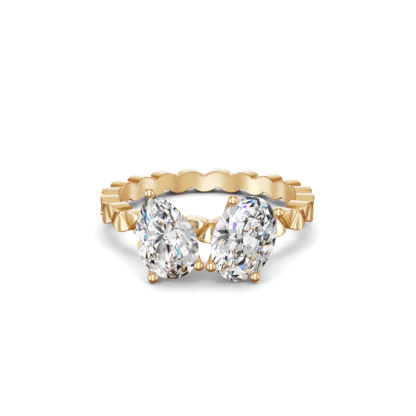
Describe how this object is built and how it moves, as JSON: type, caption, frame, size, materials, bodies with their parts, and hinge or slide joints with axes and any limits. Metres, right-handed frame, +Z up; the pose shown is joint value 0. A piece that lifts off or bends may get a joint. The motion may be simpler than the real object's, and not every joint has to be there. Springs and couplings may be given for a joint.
{
  "type": "toi et moi ring",
  "caption": "Gold ring with a scalloped band of interlocking petals, carrying a pear stone and an oval stone side by side in claw settings.",
  "frame": {"origin": "centre of the finger hole, half way up the band", "axes": "+Z up as the ring lies on its side on a table; -Y from the finger hole towards the stones; +X towards the oval stone. The finger hole's axis leans 6.577 degrees from +Z towards +Y, because the ring rests on the back of the band and on the claws' ball tips"},
  "size_m": [0.0206, 0.0244, 0.0083],
  "materials": {
    "gold": "polished 14 carat yellow gold",
    "diamond": "polished facets, colourless"
  },
  "bodies": {
    "root": {"ring_mount": "gold", "pear_stone": "diamond", "oval_stone": "diamond"}
  },
  "joints": []
}
